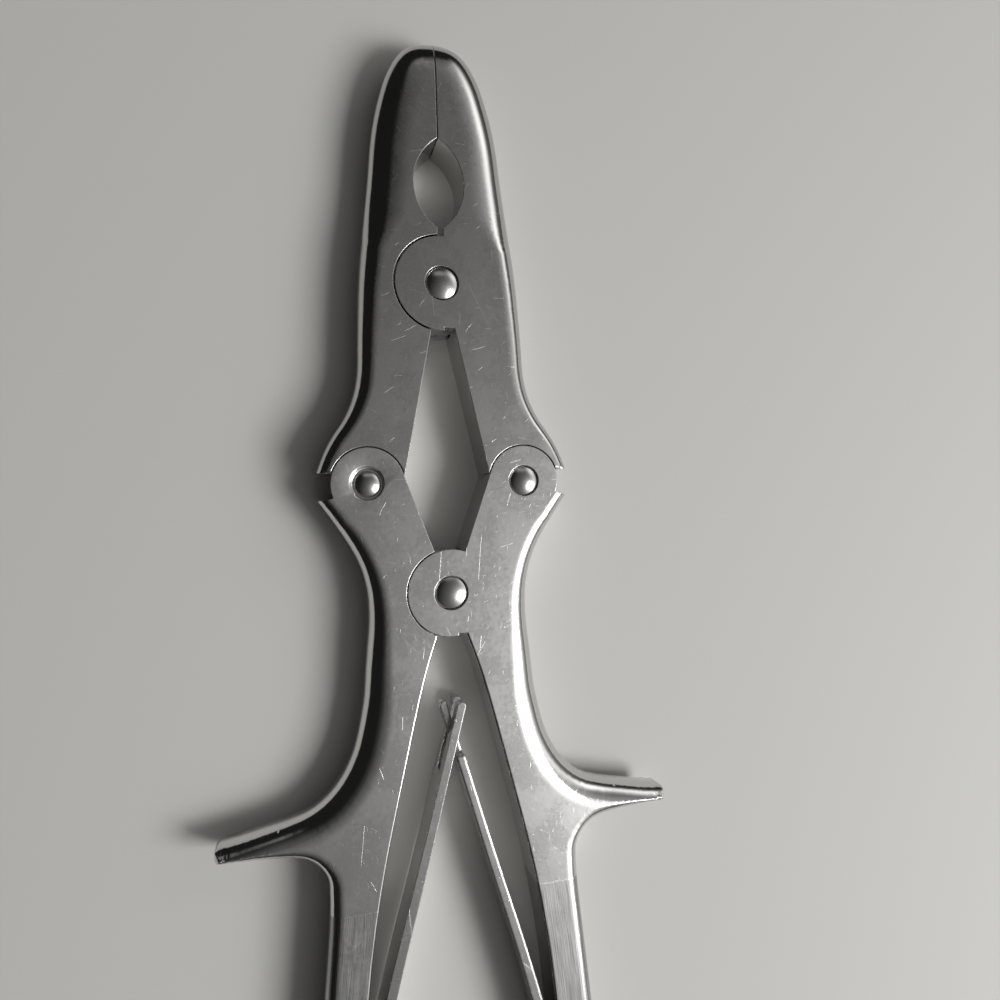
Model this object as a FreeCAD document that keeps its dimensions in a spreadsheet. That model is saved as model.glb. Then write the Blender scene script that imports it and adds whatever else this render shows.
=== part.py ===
"""Double-action bone rongeur: two cupped jaws, two handles, four pivot pins and two leaf springs.

X runs to the right, Y along the instrument with the nose at +Y, and Z up from the flat underside.
The origin is below the middle of the overall length. Outlines are written from the rear pivot,
for the right-hand piece, and mirrored for the left-hand one.
"""
import FreeCAD, Part
import math
import os
import Sketcher

SIZES = (
    ("overall_length", 274.6),
    ("nose_reach", 100.8),
    ("pivot_spacing", 56.0),
    ("side_pivot_x", 14.3),
    ("side_pivot_y", 20.0),
    ("thickness", 9.0),
    ("front_disc_radius", 8.5),
    ("rear_disc_radius", 7.9),
    ("side_disc_radius", 6.5),
    ("front_lap_gap", 0.3),
    ("lap_gap", 0.2),
    ("lap_face_gap", 0.06),
    ("seam_gap", 0.16),
    ("waist_half_width", 15.25),
    ("horn_half_width", 23.1),
    ("horn_top", 2.2),
    ("shoulder_half_width", 23.0),
    ("shoulder_drop", 2.8),
    ("throat_half_width", 2.1),
    ("throat_depth", 0.5),
    ("window_length", 16.2),
    ("window_half_width", 4.6),
    ("window_mid_from_nose", 26.5),
    ("rim_length", 18.6),
    ("cup_half_length", 7.0),
    ("cup_half_height", 3.3),
    ("cup_depth", 3.6),
    ("cup_from_nose", 11.4),
    ("nose_rounding", 4.2),
    ("waist_rounding", 3.2),
    ("horn_rounding", 2.2),
    ("handle_rounding", 3.8),
    ("hook_rounding", 1.2),
    ("grip_rounding", 2.4),
    ("inner_rounding", 0.4),
    ("body_half_width", 14.8),
    ("hook_reach", 41.8),
    ("hook_top", 40.4),
    ("hook_underside", 43.6),
    ("hook_waist_drop", 20.5),
    ("hook_tip_length", 6.3),
    ("hook_tip_height", 5.5),
    ("grip_top", 50.5),
    ("grip_top_width", 23.0),
    ("grip_half_width", 3.8),
    ("grip_bow", 24.6),
    ("shank_radius", 2.2),
    ("head_radius", 2.85),
    ("side_head_radius", 2.6),
    ("head_ring_gap", 0.25),
    ("head_depth", 1.6),
    ("head_crown", 0.45),
    ("head_rise", 0.7),
    ("left_head_radius", 2.35),
    ("left_head_gap", 0.4),
    ("left_head_crown", -0.05),
    ("worn_rim", 0.45),
    ("foot_depth", 1.2),
    ("running_gap", 0.05),
    ("open_pivot_gap", 0.17),
    ("axial_play", 0.08),
    ("spring_thickness", 2.0),
    ("spring_tip_thickness", 1.5),
    ("spring_seat_x", 19.0),
    ("spring_tip_past_axis", 1.5),
    ("spring_width", 6.8),
    ("fork_slot", 2.4),
    ("tongue_gap", 0.15),
    ("tongue_length", 9.0),
    ("fork_length", 12.0),
    ("spring_seat_gap", 0.3),
    ("spring_tip_from_rear", 21.0),
    ("spring_foot_from_rear", 99.0),
    ("spring_foot_length", 14.5),
    ("spring_screw_from_end", 3.0),
    ("screw_shank_radius", 1.1),
    ("screw_head_radius", 2.2),
    ("screw_head_height", 1.3),
    ("screw_length", 4.4),
    ("screw_slot", 0.6),
)

doc = FreeCAD.newDocument("BoneRongeur")
sheet = doc.addObject("Spreadsheet::Sheet", "Sizes")
for row, (alias, value) in enumerate(SIZES, start=1):
    sheet.set("A%d" % row, alias)
    sheet.set("B%d" % row, str(value))
    sheet.setAlias("B%d" % row, alias)
doc.recompute()


def size(alias):
    """Read one driving dimension from the sheet."""
    return float(sheet.get(alias))


REAR_Y = size("overall_length") / 2.0 - size("nose_reach")
FRONT_Y = size("pivot_spacing")
SIDE_X = size("side_pivot_x")
SIDE_Y = size("side_pivot_y")
HALF = size("thickness") / 2.0
TOP, BOTTOM = "top", "bottom"
ARC_TOLERANCE = 0.1


def at(x, y, side=1):
    """Turn a point measured from the rear pivot into one in the frame of the instrument."""
    return FreeCAD.Vector(side * x, REAR_Y + y, 0.0)


def on_circle(centre, radius, degrees):
    """Point at an angle on a circle, in the coordinates of the rear pivot."""
    turn = math.radians(degrees)
    return (centre[0] + radius * math.cos(turn), centre[1] + radius * math.sin(turn))


def line_meets_circle(start, end, centre, radius):
    """First point where the line from start to end enters a circle."""
    along = FreeCAD.Vector(end[0] - start[0], end[1] - start[1], 0.0)
    along.normalize()
    reach = FreeCAD.Vector(centre[0] - start[0], centre[1] - start[1], 0.0)
    foot = reach.dot(along)
    offset = math.sqrt(max(reach.Length ** 2 - foot ** 2, 0.0))
    travel = foot - math.sqrt(max(radius ** 2 - offset ** 2, 0.0))
    return (start[0] + travel * along.x, start[1] + travel * along.y)


def line(start, end, side):
    """Straight stretch of an outline."""
    return Part.LineSegment(at(*start, side), at(*end, side))


def arc(start, middle, end, side):
    """Round stretch of an outline through three points."""
    return Part.Arc(at(*start, side), at(*middle, side), at(*end, side))


def curve(points, side, start_tangent, end_tangent):
    """Smooth stretch of an outline through its points, as arcs that run into one another."""
    spline = Part.BSplineCurve()
    places = [at(x, y, side) for x, y in points]
    first = FreeCAD.Vector(side * start_tangent[0], start_tangent[1], 0.0).normalize()
    last = FreeCAD.Vector(side * end_tangent[0], end_tangent[1], 0.0).normalize()
    spline.interpolate(places, InitialTangent=first, FinalTangent=last, Scale=False)
    return spline.toBiArcs(ARC_TOLERANCE)


def between(start, end, *shares):
    """Points in the box from start to end, each at its share of the width and of the height."""
    return [(start[0] + (end[0] - start[0]) * across, start[1] + (end[1] - start[1]) * along)
            for across, along in shares]


def plane(body, role):
    """One of the origin planes of a body."""
    return next(item for item in body.Origin.OriginFeatures if item.Role == role)


def new_body(name):
    """Start a body with its own label."""
    body = doc.addObject("PartDesign::Body", name)
    body.Label = name
    return body


def sketch_on(body, name, role="XY_Plane", height=None):
    """Empty sketch on an origin plane, lifted by an expression where one is given."""
    sketch = body.newObject("Sketcher::SketchObject", name)
    sketch.AttachmentSupport = [(plane(body, role), "")]
    sketch.MapMode = "FlatFace"
    if height:
        sketch.setExpression(".AttachmentOffset.Base.z", height)
    return sketch


def add_pad(body, sketch, name, length):
    """Raise a sketch by a length that is bound to the sheet."""
    pad = body.newObject("PartDesign::Pad", name)
    pad.Profile = sketch
    pad.setExpression("Length", length)
    return pad


def round_cut(body, name, centre, radius, depth, layer):
    """Cut a round pocket from the top or the underside, with its size bound to the sheet."""
    height = "Sizes.thickness" if layer == TOP else None
    sketch = sketch_on(body, name + "_circle", height=height)
    where = at(*centre)
    sketch.addGeometry(Part.Circle(where, FreeCAD.Vector(0, 0, 1), 1.0), False)
    sketch.addConstraint(Sketcher.Constraint("Radius", 0, 1.0))
    sketch.setExpression("Constraints[0]", radius)
    doc.recompute()
    before = body.Shape.Volume
    pocket = body.newObject("PartDesign::Pocket", name)
    pocket.Profile = sketch
    pocket.Reversed = layer == BOTTOM
    pocket.setExpression("Length", depth)
    doc.recompute()
    if body.Shape.Volume > before - 0.01:
        raise RuntimeError(name + " cuts nothing")
    return pocket


def front_centre():
    return (0.0, FRONT_Y)


def side_centre():
    return (SIDE_X, SIDE_Y)


HORN_START = SIDE_Y + (FRONT_Y - SIDE_Y) / 2.0
LAP_DEPTH = "(Sizes.thickness + Sizes.lap_face_gap) / 2"


def jaw_outline(side):
    """Plan of a jaw as named stretches: nose, flank and horn, then the joints and the window."""
    nose = size("nose_reach")
    waist = size("waist_half_width")
    seam = size("seam_gap") / 2.0
    knuckle = size("side_disc_radius")
    disc = size("front_disc_radius")
    nose_tip = (seam, nose)
    nose_end, flank_end = (0.86 * waist, nose - 0.68 * (nose - FRONT_Y)), (1.04 * waist, HORN_START)
    nose_points = between(nose_tip, nose_end, (0.32, 0.026), (0.546, 0.118), (0.70, 0.26),
                          (0.847, 0.487), (0.923, 0.743))
    flank_points = between(nose_end, flank_end, (0.44, 0.275), (0.69, 0.568), (0.80, 0.784))
    horn_tip = (size("horn_half_width"), SIDE_Y + size("horn_top"))
    horn_points = between(flank_end, horn_tip, (0.17, 0.266), (0.46, 0.50), (0.81, 0.766))
    horn_foot = on_circle(side_centre(), knuckle, 17.0)
    throat = (size("throat_half_width"), FRONT_Y - disc + size("throat_depth"))
    cheek = (SIDE_X - knuckle, SIDE_Y + 0.2 * knuckle)
    heel = line_meets_circle(throat, cheek, side_centre(), knuckle)
    notch = on_circle(front_centre(), disc, -88.5)
    notch_top = (notch[0], throat[1])
    window_top = (seam, nose - size("rim_length"))
    window_foot = (seam * 6.6, window_top[1] - size("window_length"))
    neck = (window_foot[0], FRONT_Y + math.sqrt(disc ** 2 - window_foot[0] ** 2))
    window_mid = (size("window_half_width"), nose - size("window_mid_from_nose"))
    nose_run, flank_run, horn_run = (0.135, -1.0), (0.19, -1.0), (0.30, -1.0)
    return {
        "nose": curve([nose_tip] + nose_points + [nose_end], side, (1.0, 0.0), nose_run),
        "flank": curve([nose_end] + flank_points + [flank_end], side, nose_run, flank_run),
        "horn": curve([flank_end] + horn_points + [horn_tip], side, flank_run, horn_run),
        "horn_end": [line(horn_tip, horn_foot, side)],
        "knuckle": [arc(horn_foot, on_circle(side_centre(), knuckle, -80.0), heel, side)],
        "crotch": [line(heel, throat, side), line(throat, notch_top, side),
                   line(notch_top, notch, side)],
        "disc": [arc(notch, (-disc, FRONT_Y), neck, side)],
        "window": [line(neck, window_foot, side), arc(window_foot, window_mid, window_top, side)],
        "rim": [line(window_top, nose_tip, side)],
    }


def handle_outline(side):
    """Plan of a handle as named stretches, from the knuckle round the hook and grip to the disc."""
    knuckle = size("side_disc_radius")
    disc = size("rear_disc_radius")
    body_width = size("body_half_width")
    shoulder = (size("shoulder_half_width"), SIDE_Y - size("shoulder_drop"))
    shoulder_foot = on_circle(side_centre(), knuckle, -21.0)
    waist = (body_width, 0.0)
    hook_top, hook_under = -size("hook_top"), -size("hook_underside")
    tip_radius = (hook_top - hook_under) / 2.0
    tip_x = size("hook_reach") - tip_radius
    tip_top, tip_under = (tip_x, hook_top), (tip_x, hook_under)
    root = (1.11 * body_width, -size("hook_waist_drop"))
    grip_start = (size("grip_top_width"), -size("grip_top"))
    bow, grip = size("grip_bow"), size("grip_half_width")
    end_y = size("nose_reach") - size("overall_length")
    outer_end, inner_end = (bow + grip, end_y + grip), (bow - grip, end_y + grip)
    seat_top, seat_low = seat_points()
    notch = on_circle((0.0, 0.0), disc, -81.5)
    notch_y = -disc + size("throat_depth")
    notch_end = (size("throat_half_width") + size("throat_depth"), notch_y)
    inner_top = (notch_end[0] + 0.3 * size("throat_depth"), notch_y - 1.1 * size("throat_depth"))
    tangent = on_circle(side_centre(), knuckle, 160.0)
    crotch = line_meets_circle(tangent, (0.39 * disc, 1.04 * disc), (0.0, 0.0), disc)
    shoulder_points = between(waist, shoulder, (0.55, 0.68), (0.19, 0.384))
    waist_points = between(waist, root, (0.06, 0.31), (0.52, 0.66))
    root_points = between(root, tip_top, (0.071, 0.342), (0.20, 0.628), (0.382, 0.82), (0.697, 0.93))
    under_points = between(tip_under, grip_start, (0.50, 0.06), (0.85, 0.29))
    outer_points = between(grip_start, outer_end, (0.17, 0.122), (0.61, 0.348), (0.963, 0.667))
    low_point = between(inner_end, seat_low, (0.0, 0.63))
    inner_points = between(notch_end, seat_top, (0.86, 0.686), (0.707, 0.497), (0.53, 0.354),
                           (0.235, 0.138))
    flank = [shoulder] + shoulder_points + [waist] + waist_points + [root]
    return {
        "knuckle": [arc(tangent, on_circle(side_centre(), knuckle, 70.0), shoulder_foot, side)],
        "shoulder": [line(shoulder_foot, shoulder, side)],
        "flank": curve(flank, side, (-0.75, -1.0), (0.2, -1.0)),
        "root": curve([root] + root_points + [tip_top], side, (0.2, -1.0), (1.0, -0.14)),
        "tip": [arc(tip_top, (size("hook_reach"), (hook_top + hook_under) / 2.0), tip_under, side)],
        "under": curve([tip_under] + under_points + [grip_start], side, (-1.0, 0.0), (-0.02, -1.0)),
        "outer": curve([grip_start] + outer_points + [outer_end], side, (-0.02, -1.0), (0.0, -1.0)),
        "end": [arc(outer_end, (bow, end_y), inner_end, side)],
        "inner_low": curve([inner_end] + low_point + [seat_low], side, (0.0, 1.0), seat_direction()),
        "seat": [line(seat_low, seat_top, side)],
        "inner": curve([seat_top] + inner_points + [inner_top], side, seat_direction(),
                       (-0.38, 1.0)),
        "notch": [line(inner_top, notch_end, side),
                  line(notch_end, (notch[0], notch_y), side),
                  line((notch[0], notch_y), notch, side)],
        "disc": [arc(notch, (-disc, 0.0), crotch, side)],
        "crotch": [line(crotch, tangent, side)],
    }


def seat_points():
    """Ends of the flat seat of the leaf spring on the inner side of the grip, upper end first."""
    upper = (size("spring_seat_x"), -size("spring_foot_from_rear"))
    length = size("spring_foot_length") + 1.0
    lean = seat_direction()
    return upper, (upper[0] - lean[0] * length, upper[1] - length)


def seat_direction():
    """Direction of the spring seat, upwards."""
    return (-0.056, 1.0)


def blank(name, outline):
    """Full-thickness plate with the given outline."""
    body = new_body(name + "_blank")
    sketch = sketch_on(body, name + "_outline")
    sketch.addGeometry([edge for stretch in outline.values() for edge in stretch], False)
    add_pad(body, sketch, name + "_plate", "Sizes.thickness")
    doc.recompute()
    return body


def spread_radius(stretch, start_radius, end_radius, change_from=0.0, change_to=1.0):
    """Radius at both ends of each arc of a stretch; it changes between two shares of the length."""
    whole = sum(piece.length() for piece in stretch)

    def radius(done):
        share = (done / whole - change_from) / (change_to - change_from)
        return start_radius + (end_radius - start_radius) * min(max(share, 0.0), 1.0)

    done = 0.0
    shares = []
    for piece in stretch:
        before = radius(done)
        done += piece.length()
        shares.append((piece, before, radius(done)))
    return shares


def rounded(name, base, laws):
    """Round the long edges of both faces, each with a radius at its start and its end."""
    edges = []
    pieces = [share for law in laws for share in spread_radius(*law)]
    for index, edge in enumerate(base.Shape.Edges, start=1):
        middle = edge.valueAt((edge.FirstParameter + edge.LastParameter) / 2.0)
        flat = FreeCAD.Vector(middle.x, middle.y, 0.0)
        if min(middle.z, 2.0 * HALF - middle.z) > 0.001:
            continue
        for piece, start_radius, end_radius in pieces:
            path = piece.toShape()
            if path.distToShape(Part.Vertex(flat))[0] < 0.002:
                first = edge.Vertexes[0].Point
                forward = (first - path.valueAt(path.FirstParameter)).Length
                backward = (first - path.valueAt(path.LastParameter)).Length
                pair = (start_radius, end_radius) if forward < backward else (end_radius, start_radius)
                edges.append((index, pair[0], pair[1]))
    fillet = doc.addObject("Part::Fillet", name + "_rounded")
    fillet.Base = base
    fillet.Edges = edges
    doc.recompute()
    return fillet


def cut(name, base, tool):
    """Take a tool shape out of a base shape."""
    result = doc.addObject("Part::Cut", name)
    result.Base = base
    result.Tool = tool
    doc.recompute()
    return result


def hook_end(name, side):
    """Tool that rounds the end of a finger hook off as it is seen from the front."""
    reach, height = size("hook_reach"), size("hook_tip_height")
    length, top = size("hook_tip_length"), size("thickness")
    profile = doc.addObject("Sketcher::SketchObject", name + "_profile")
    profile.Placement = FreeCAD.Placement(at(0.0, 0.0), FreeCAD.Rotation(FreeCAD.Vector(1, 0, 0), 90))

    def place(x, z):
        return FreeCAD.Vector(side * x, z, 0.0)

    sole, toe, brow = place(reach - length, 0.0), place(reach, height), place(reach - 2.3, top)
    low_corner, high_corner = place(reach + 1.0, -1.0), place(reach + 1.0, top + 1.0)
    edges = [
        Part.Arc(sole, place(reach - 0.35 * length, 0.36 * height), toe),
        Part.Arc(toe, place(reach - 0.6, top - 1.0), brow),
        Part.LineSegment(brow, place(reach - 2.3, top + 1.0)),
        Part.LineSegment(place(reach - 2.3, top + 1.0), high_corner),
        Part.LineSegment(high_corner, low_corner),
        Part.LineSegment(low_corner, place(reach - length, -1.0)),
        Part.LineSegment(place(reach - length, -1.0), sole),
    ]
    profile.addGeometry(edges, False)
    block = doc.addObject("Part::Extrusion", name)
    block.Base = profile
    block.DirMode = "Normal"
    block.Solid = True
    block.setExpression("LengthFwd", "Sizes.hook_underside + 10")
    doc.recompute()
    return block


def worn_rim(name, side):
    """Cone that opens the rim of the left pin's seat towards the nose, as wear has."""
    cone = doc.addObject("Part::Cone", name)
    cone.setExpression("Radius1", "Sizes.left_head_radius + Sizes.left_head_gap")
    cone.setExpression("Radius2", "Sizes.left_head_radius + Sizes.left_head_gap + 2 * Sizes.worn_rim")
    cone.setExpression("Height", "2 * Sizes.worn_rim")
    middle = side_centre_of(side)
    lean = size("worn_rim") * 0.6
    cone.Placement.Base = at(middle[0] - lean, middle[1] + lean) + FreeCAD.Vector(
        0.0, 0.0, size("thickness") - size("worn_rim"))
    doc.recompute()
    return cone


def cup(name):
    """Half-almond hollow that the jaw bites bone with, opening on the seam."""
    hollow = doc.addObject("Part::Ellipsoid", name)
    hollow.setExpression("Radius1", "Sizes.cup_half_height")
    hollow.setExpression("Radius2", "Sizes.cup_depth")
    hollow.setExpression("Radius3", "Sizes.cup_half_length")
    hollow.setExpression("Placement.Base.y", "Sizes.overall_length / 2 - Sizes.cup_from_nose")
    hollow.setExpression("Placement.Base.z", "Sizes.thickness / 2")
    doc.recompute()
    return hollow


def jaw(name, side):
    """One jaw; the front disc of the right jaw is its upper half, that of the left its lower half."""
    outline = jaw_outline(side)
    body = blank(name, outline)
    disc_layer = TOP if side > 0 else BOTTOM
    lap_layer = BOTTOM if side > 0 else TOP
    round_cut(body, name + "_front_lap", front_centre(),
              "Sizes.front_disc_radius + Sizes.front_lap_gap", LAP_DEPTH, lap_layer)
    round_cut(body, name + "_side_lap", side_centre_of(side),
              "Sizes.side_disc_radius + Sizes.lap_gap", LAP_DEPTH, TOP)
    bore = "Sizes.shank_radius" if side > 0 else "Sizes.shank_radius + Sizes.open_pivot_gap"
    head = "head_depth" if side > 0 else "foot_depth"
    round_cut(body, name + "_front_bore", front_centre(), bore, "Sizes.thickness", disc_layer)
    round_cut(body, name + "_front_seat", front_centre(),
              "Sizes.head_radius + Sizes.head_ring_gap", "Sizes." + head, disc_layer)
    round_cut(body, name + "_side_bore", side_centre_of(side),
              "Sizes.shank_radius + Sizes.running_gap", "Sizes.thickness", BOTTOM)
    round_cut(body, name + "_side_seat", side_centre_of(side),
              "Sizes.side_head_radius + Sizes.head_ring_gap", "Sizes.foot_depth", BOTTOM)
    nose, waist, horn = (size(key) for key in ("nose_rounding", "waist_rounding", "horn_rounding"))
    laws = ((outline["nose"], nose, nose), (outline["flank"], nose, waist, 0.2, 0.8),
            (outline["horn"], waist, horn, 0.2, 0.8))
    smooth = rounded(name, body, laws)
    return cut(name, smooth, cup(name + "_cup"))


def side_centre_of(side):
    """Centre of a side pivot, on the left or the right."""
    return (side * SIDE_X, SIDE_Y)


def handle(name, side):
    """One handle; the rear disc of the right handle is its upper half, that of the left its lower."""
    outline = handle_outline(side)
    body = blank(name, outline)
    disc_layer = TOP if side > 0 else BOTTOM
    lap_layer = BOTTOM if side > 0 else TOP
    round_cut(body, name + "_rear_lap", (0.0, 0.0),
              "Sizes.rear_disc_radius + Sizes.lap_gap", LAP_DEPTH, lap_layer)
    round_cut(body, name + "_side_lap", side_centre_of(side),
              "Sizes.side_disc_radius + Sizes.lap_gap", LAP_DEPTH, BOTTOM)
    bore = "Sizes.shank_radius + Sizes.running_gap" if side > 0 else "Sizes.shank_radius"
    head = "head_depth" if side > 0 else "foot_depth"
    round_cut(body, name + "_rear_bore", (0.0, 0.0), bore, "Sizes.thickness", disc_layer)
    round_cut(body, name + "_rear_seat", (0.0, 0.0),
              "Sizes.head_radius + Sizes.head_ring_gap", "Sizes." + head, disc_layer)
    round_cut(body, name + "_side_bore", side_centre_of(side), "Sizes.shank_radius",
              "Sizes.thickness", TOP)
    right_seat, left_seat = ("Sizes.side_head_radius + Sizes.head_ring_gap",
                             "Sizes.left_head_radius + Sizes.left_head_gap")
    round_cut(body, name + "_side_seat", side_centre_of(side),
              right_seat if side > 0 else left_seat, "Sizes.head_depth", TOP)
    shoulder, main, hook, grip, inner = (size(key + "_rounding") for key in (
        "horn", "handle", "hook", "grip", "inner"))
    laws = ((outline["flank"], shoulder, main), (outline["root"], main, hook),
            (outline["tip"], hook, hook), (outline["under"], hook, grip),
            (outline["outer"], grip, grip), (outline["end"], grip, inner),
            (outline["inner_low"], inner, inner), (outline["seat"], inner, inner),
            (outline["inner"], inner, inner))
    smooth = cut(name + "_ended", rounded(name, body, laws), hook_end(name + "_hook_end", side))
    if side < 0:
        smooth = cut(name + "_worn", smooth, worn_rim(name + "_rim", side))
    thread = screw_axis_cylinder(name + "_screw_hole", side, "Sizes.screw_shank_radius",
                                 -size("screw_length"), size("screw_length"))
    return cut(name, smooth, thread)


def seat_frame(side):
    """Point on the spring seat at the screw, and the direction out of the seat."""
    upper, lower = seat_points()
    travel = size("spring_foot_length") - size("spring_screw_from_end")
    share = travel / (size("spring_foot_length") + 1.0)
    x = upper[0] + (lower[0] - upper[0]) * share
    y = upper[1] + (lower[1] - upper[1]) * share
    lean = FreeCAD.Vector(upper[0] - lower[0], upper[1] - lower[1], 0.0).normalize()
    out = FreeCAD.Vector(-side * lean.y, lean.x, 0.0)
    return at(x, y, side) + FreeCAD.Vector(0.0, 0.0, HALF), out


def screw_axis_cylinder(name, side, radius, start, length):
    """Cylinder on the axis of a spring screw, from a height over the seat."""
    origin, out = seat_frame(side)
    rod = doc.addObject("Part::Cylinder", name)
    rod.setExpression("Radius", radius)
    rod.Height = length
    turn = FreeCAD.Rotation(FreeCAD.Vector(0.0, 0.0, 1.0), out)
    rod.Placement = FreeCAD.Placement(origin + out * start, turn)
    return rod


def pin(name, centre, head_radius, floor_play, head_play, crown_height="head_crown"):
    """Polished rivet with a domed head on top and a flat foot that stays inside the underside."""
    body = new_body(name)
    body.Placement = FreeCAD.Placement(at(*centre), FreeCAD.Rotation())
    shank, head = size("shank_radius"), size(head_radius)
    top = size("thickness")
    sole = 0.1
    foot = size("foot_depth") - floor_play
    neck = top - size("head_depth") + head_play
    crown = top + size(crown_height)
    rise = size("head_rise")
    brow = crown - rise
    dome = (head ** 2 + rise ** 2) / (2.0 * rise)
    lean = math.asin(head / dome) / 2.0
    cheek = (dome * math.sin(lean), crown - dome + dome * math.cos(lean))
    corners = ((0.0, sole), (head - 0.2, sole), (head, sole + 0.2), (head, foot), (shank, foot),
               (shank, neck), (head, neck), (head, brow))
    sketch = sketch_on(body, name + "_profile", "XZ_Plane")
    places = [FreeCAD.Vector(x, z, 0.0) for x, z in corners]
    edges = [Part.LineSegment(a, b) for a, b in zip(places, places[1:])]
    apex = FreeCAD.Vector(0.0, crown, 0.0)
    edges.append(Part.Arc(places[-1], FreeCAD.Vector(*cheek, 0.0), apex))
    edges.append(Part.LineSegment(apex, places[0]))
    sketch.addGeometry(edges, False)
    turned = body.newObject("PartDesign::Revolution", name + "_turned")
    turned.Profile = sketch
    turned.ReferenceAxis = (sketch, ["V_Axis"])
    turned.Angle = 360.0
    doc.recompute()
    return body


def leaf_spring(name, side):
    """Leaf with a straight foot on the grip and a tapered blade that crosses the other one's."""
    upper, lower = seat_points()
    lean = FreeCAD.Vector(upper[0] - lower[0], upper[1] - lower[1], 0.0).normalize()
    foot_half, tip_half = size("spring_thickness") / 2.0, size("spring_tip_thickness") / 2.0
    lift = size("spring_seat_gap") + foot_half
    length = size("spring_foot_length")
    start = (upper[0] - lift * lean.y, upper[1] + lift * lean.x)
    end = (-size("spring_tip_past_axis"), -size("spring_tip_from_rear"))
    foot = (start[0] - lean.x * length, start[1] - lean.y * length)
    blade = [start] + between(start, end, (0.073, 0.154), (0.177, 0.28), (0.466, 0.533),
                              (0.716, 0.75)) + [end]

    def beside(points, sign):
        """Points moved sideways by half the blade's thickness, square to its run."""
        moved = []
        for index, point in enumerate(points):
            before = points[max(index - 1, 0)]
            after = points[min(index + 1, len(points) - 1)]
            run = FreeCAD.Vector(after[0] - before[0], after[1] - before[1], 0.0).normalize()
            if index == 0:
                run = lean
            share = (point[1] - start[1]) / (end[1] - start[1])
            offset = sign * (foot_half + (tip_half - foot_half) * share)
            moved.append((point[0] + offset * run.y, point[1] - offset * run.x))
        return moved

    outer, inner = beside(blade, 1), beside(blade, -1)
    foot_outer = (foot[0] + foot_half * lean.y, foot[1] - foot_half * lean.x)
    foot_inner = (foot[0] - foot_half * lean.y, foot[1] + foot_half * lean.x)
    tip_run = (blade[-1][0] - blade[-2][0], blade[-1][1] - blade[-2][1])
    run_length = math.hypot(*tip_run)
    ahead = (tip_run[0] / run_length, tip_run[1] / run_length)
    tip = (end[0] + ahead[0] * tip_half, end[1] + ahead[1] * tip_half)
    heading = (lean.x, lean.y)
    outline = [line(foot_outer, outer[0], side)]
    outline += curve(outer, side, heading, ahead)
    outline += [arc(outer[-1], tip, inner[-1], side)]
    outline += curve(inner[::-1], side, (-ahead[0], -ahead[1]), (-heading[0], -heading[1]))
    outline += [line(inner[0], foot_inner, side), line(foot_inner, foot_outer, side)]
    body = new_body(name + "_blank")
    sketch = sketch_on(body, name + "_outline",
                       height="(Sizes.thickness - Sizes.spring_width) / 2")
    sketch.addGeometry(outline, False)
    add_pad(body, sketch, name + "_strip", "Sizes.spring_width")
    doc.recompute()
    hole = screw_axis_cylinder(name + "_hole", side,
                               "Sizes.screw_shank_radius + Sizes.spring_seat_gap", -0.5,
                               size("spring_thickness") + 1.5)
    return cut(name + "_drilled", body, hole)


def box(name, low, high):
    """Plain block between two corners."""
    block = doc.addObject("Part::Box", name)
    block.Length, block.Width, block.Height = (high[i] - low[i] for i in range(3))
    block.Placement.Base = FreeCAD.Vector(*low)
    return block


def fork_spring(name, side):
    """The spring whose blade ends in two prongs, one above the other."""
    strip = leaf_spring(name, side)
    slot = size("fork_slot") / 2.0
    top = REAR_Y - size("spring_tip_from_rear") + 3.0
    low = (-20.0, top - size("fork_length") - 3.0, HALF - slot)
    block = box(name + "_slot", low, (20.0, top, HALF + slot))
    return cut(name, strip, block)


def tongue_spring(name, side):
    """The spring whose blade ends in a tongue that passes between the prongs."""
    strip = leaf_spring(name, side)
    tongue = size("fork_slot") / 2.0 - size("tongue_gap")
    top = REAR_Y - size("spring_tip_from_rear") + 3.0
    shoulder = top - size("tongue_length") - 3.0
    width = size("spring_width")
    upper = box(name + "_over", (-20.0, shoulder, HALF + tongue), (20.0, top, HALF + width))
    lower = box(name + "_under", (-20.0, shoulder, HALF - width), (20.0, top, HALF - tongue))
    return cut(name, cut(name + "_half", strip, upper), lower)


def spring_screw(name, side):
    """Slotted cheese-head screw that holds the foot of a spring."""
    over = size("spring_seat_gap") * 2.0 + size("spring_thickness")
    shank = screw_axis_cylinder(name + "_shank", side, "Sizes.screw_shank_radius",
                                -size("screw_length"), size("screw_length") + over)
    head = screw_axis_cylinder(name + "_head", side, "Sizes.screw_head_radius", over,
                               size("screw_head_height"))
    turned = doc.addObject("Part::Fuse", name + "_turned")
    turned.Base = shank
    turned.Tool = head
    origin, out = seat_frame(side)
    slot = doc.addObject("Part::Box", name + "_slot")
    reach = size("screw_head_radius") + 1.0
    slot.setExpression("Length", "Sizes.screw_slot")
    slot.Width = 2.0 * reach
    slot.Height = size("screw_head_height")
    turn = FreeCAD.Rotation(FreeCAD.Vector(0.0, 0.0, 1.0), out)
    corner = FreeCAD.Vector(-size("screw_slot") / 2.0, -reach, 0.0)
    lift = over + size("screw_head_height") * 0.45
    slot.Placement = FreeCAD.Placement(origin + out * lift + turn.multVec(corner), turn)
    return cut(name, turned, slot)


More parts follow.
